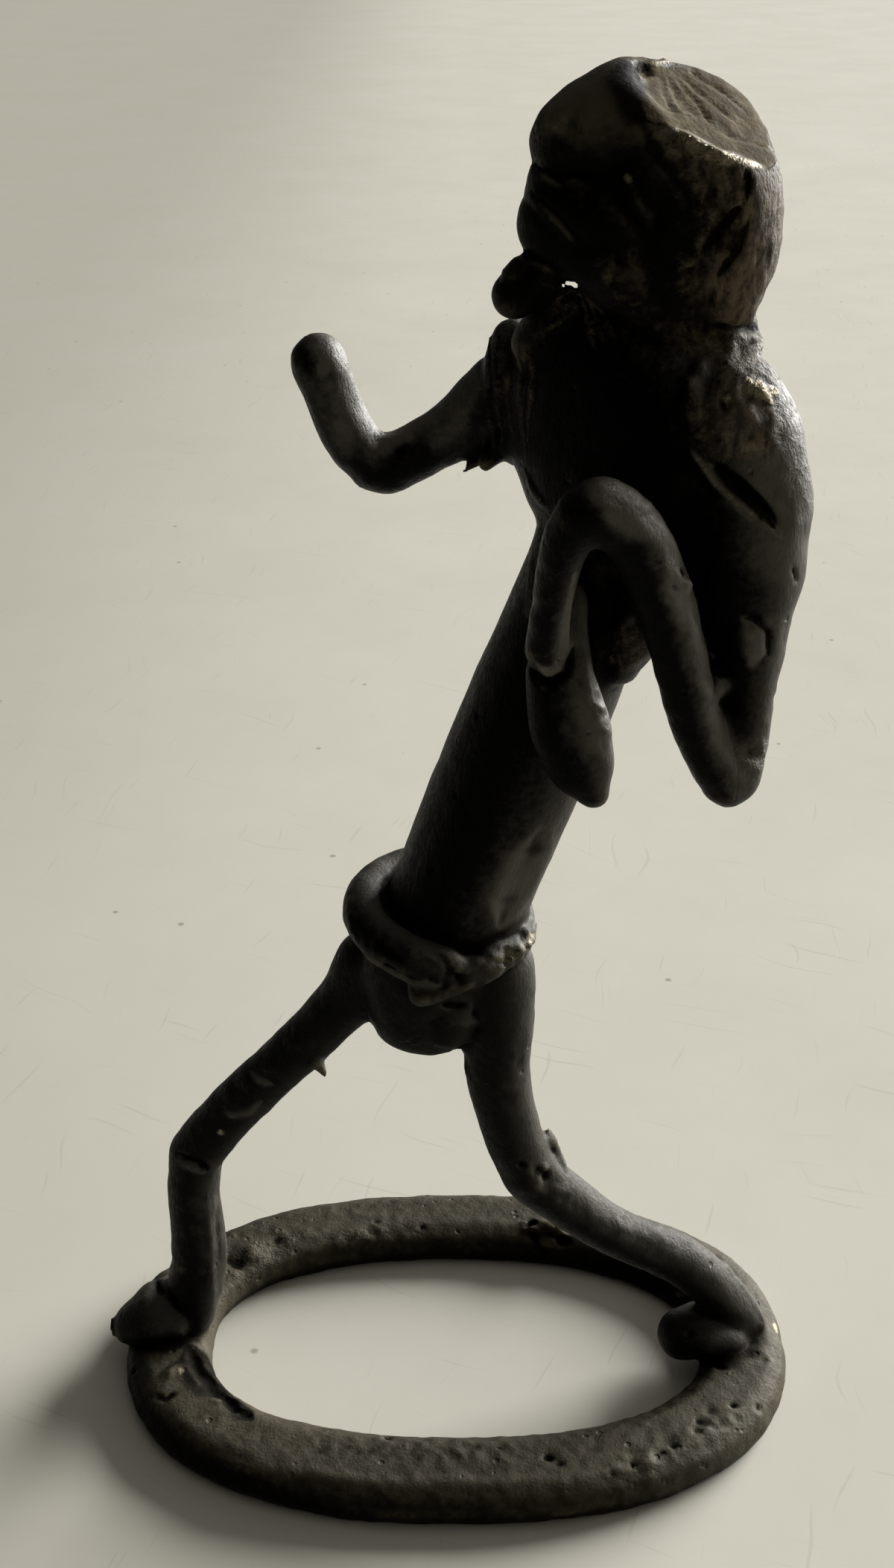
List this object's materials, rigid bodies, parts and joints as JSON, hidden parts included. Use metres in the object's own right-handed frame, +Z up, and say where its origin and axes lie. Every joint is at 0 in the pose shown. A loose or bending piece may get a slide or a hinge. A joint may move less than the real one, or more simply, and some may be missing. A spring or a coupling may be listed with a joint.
{
  "type": "cast walking figure",
  "caption": "Small cast brass figure striding on a flat oval ring, arms bent, long lapped belt at the waist; rolled-rod limbs and a flat-cut head.",
  "frame": {"origin": "on the table, under the middle of the figure's box", "axes": "+Z up, the figure walks towards -X, its left side faces -Y"},
  "size_m": [0.0672, 0.0436, 0.1229],
  "materials": {
    "ring_brass": "as cast, gritty and pitted, dark brown patina",
    "leg_brass": "rolled rods as cast, brown-black patina with worn high spots",
    "body_brass": "smooth as cast, nearly black patina",
    "arm_brass": "smooth as cast, brown-black patina with pale worn ridges",
    "head_brass": "creased and rough as cast, brown patina"
  },
  "bodies": {
    "root": {"base_ring": "ring_brass", "front_shin": "leg_brass", "rear_shin": "leg_brass", "front_foot": "leg_brass", "rear_foot": "leg_brass", "front_thigh": "leg_brass", "rear_thigh": "leg_brass", "trunk": "body_brass", "hips": "leg_brass", "waist_belt": "leg_brass", "chest": "body_brass", "back_lobe": "body_brass", "neck": "head_brass", "left_shoulder": "body_brass", "right_shoulder": "body_brass", "left_upper_arm": "arm_brass", "left_forearm": "arm_brass", "left_hand": "arm_brass", "right_upper_arm": "arm_brass", "right_forearm": "arm_brass", "pouch": "body_brass", "hair": "head_brass", "skull": "head_brass", "brow": "head_brass", "eye_fold": "head_brass", "nose": "head_brass", "chin": "head_brass", "jaw": "head_brass", "left_ear": "head_brass", "right_ear": "head_brass", "throat": "body_brass"}
  },
  "joints": []
}
